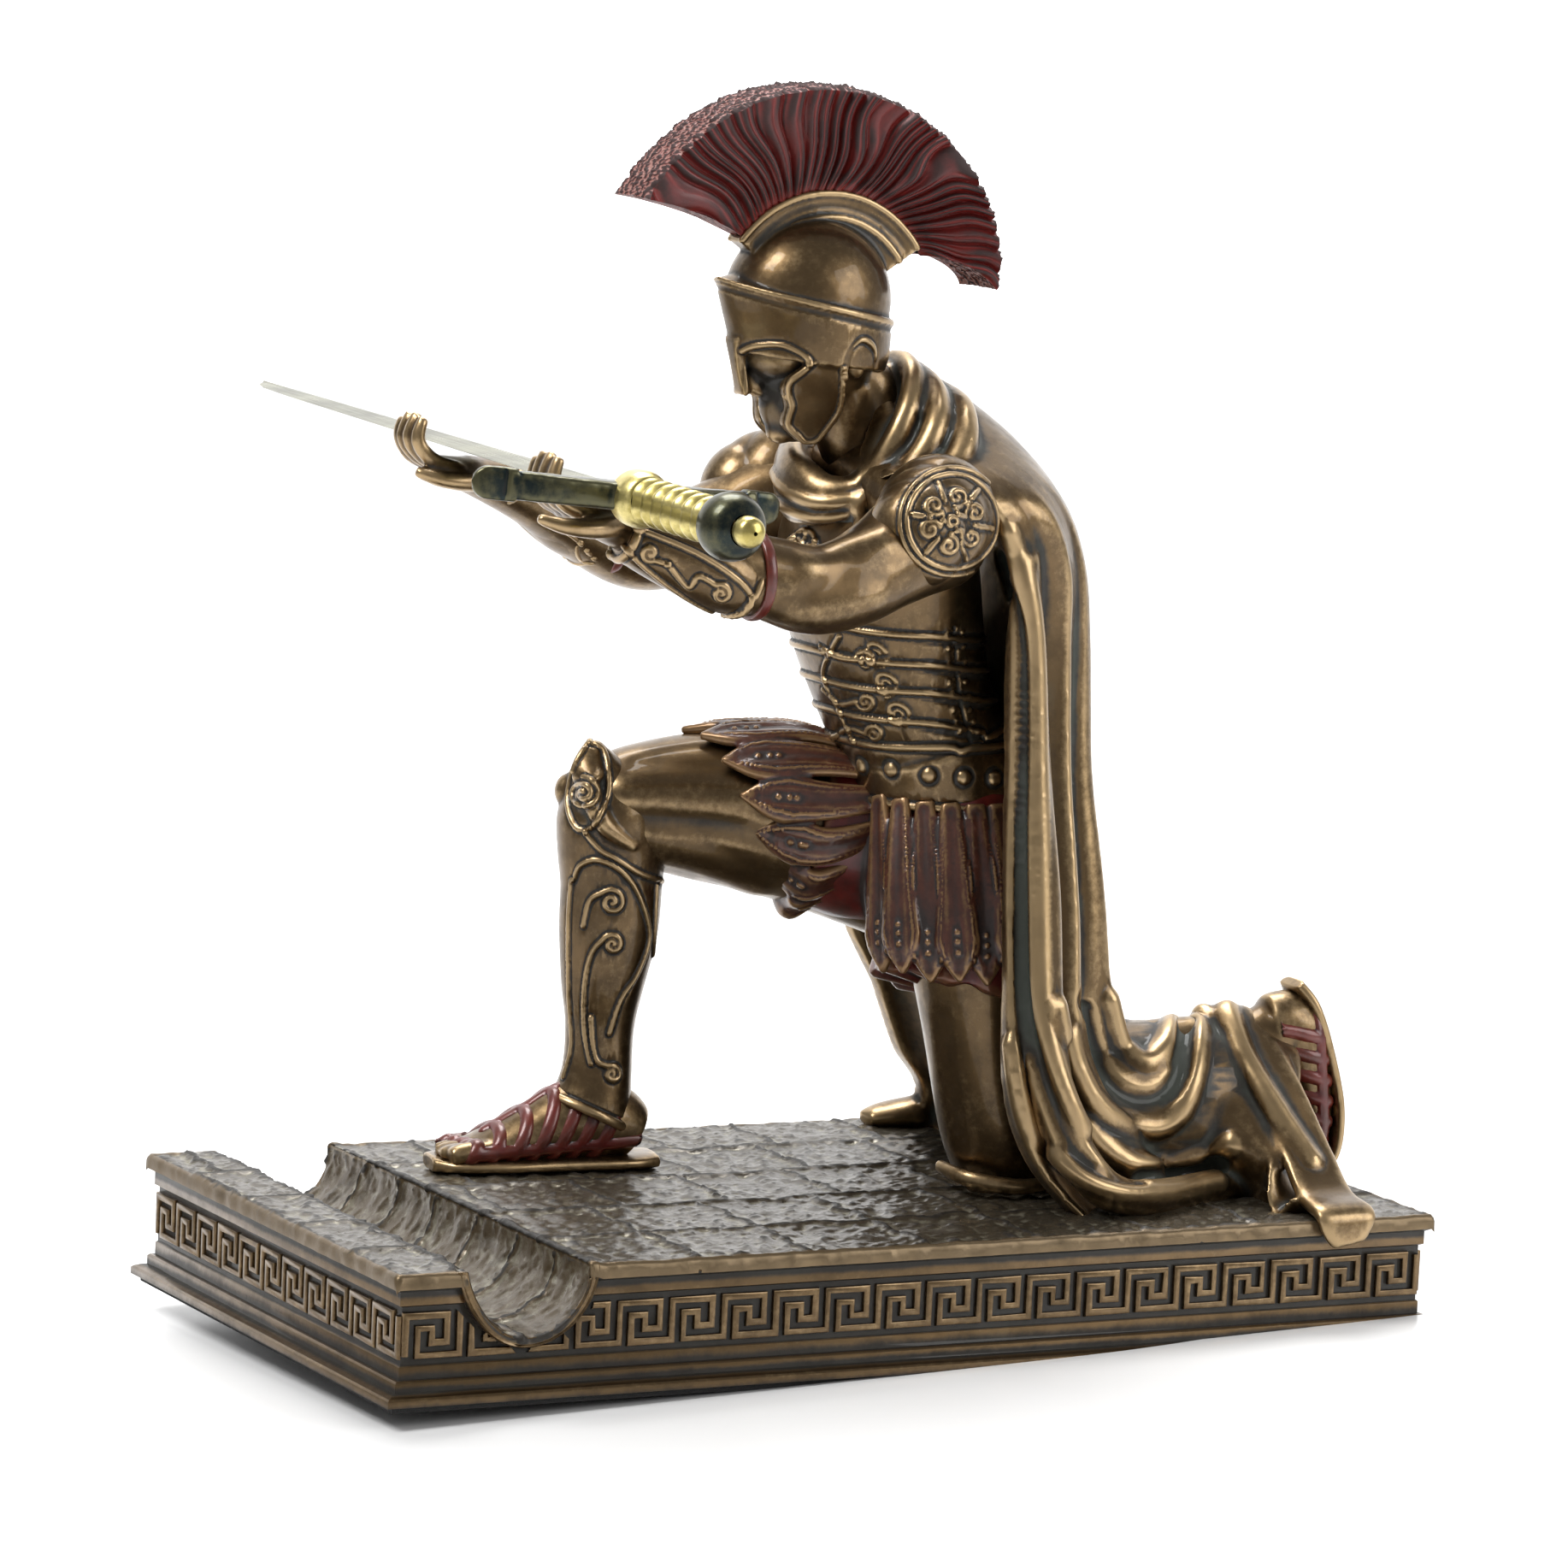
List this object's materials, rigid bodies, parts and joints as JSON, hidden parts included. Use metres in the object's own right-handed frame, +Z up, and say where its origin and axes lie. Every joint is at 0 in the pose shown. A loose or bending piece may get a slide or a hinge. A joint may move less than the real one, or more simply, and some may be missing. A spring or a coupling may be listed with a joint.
{
  "type": "roman legionary figurine",
  "caption": "Kneeling crested warrior in cold-cast bronze, holding out a letter-opener sword on a paved plinth with a pen trough.",
  "frame": {"origin": "middle of the flat underside", "axes": "+Z up, the warrior faces -X, the plinth's long side runs along X and the sword along Y"},
  "size_m": [0.178, 0.17, 0.1886],
  "materials": {
    "pad": "thin black felt",
    "paving": "cold-cast resin, dark stone top and antique bronze sides",
    "bronze": "cold-cast resin, antique bronze with red painted crest, skirt and sandal straps",
    "blade": "toned steel blade, dark guard and notched brass grip"
  },
  "bodies": {
    "root": {"base_pad": "pad", "plinth": "paving", "figure": "bronze", "sword": "blade"}
  },
  "joints": []
}
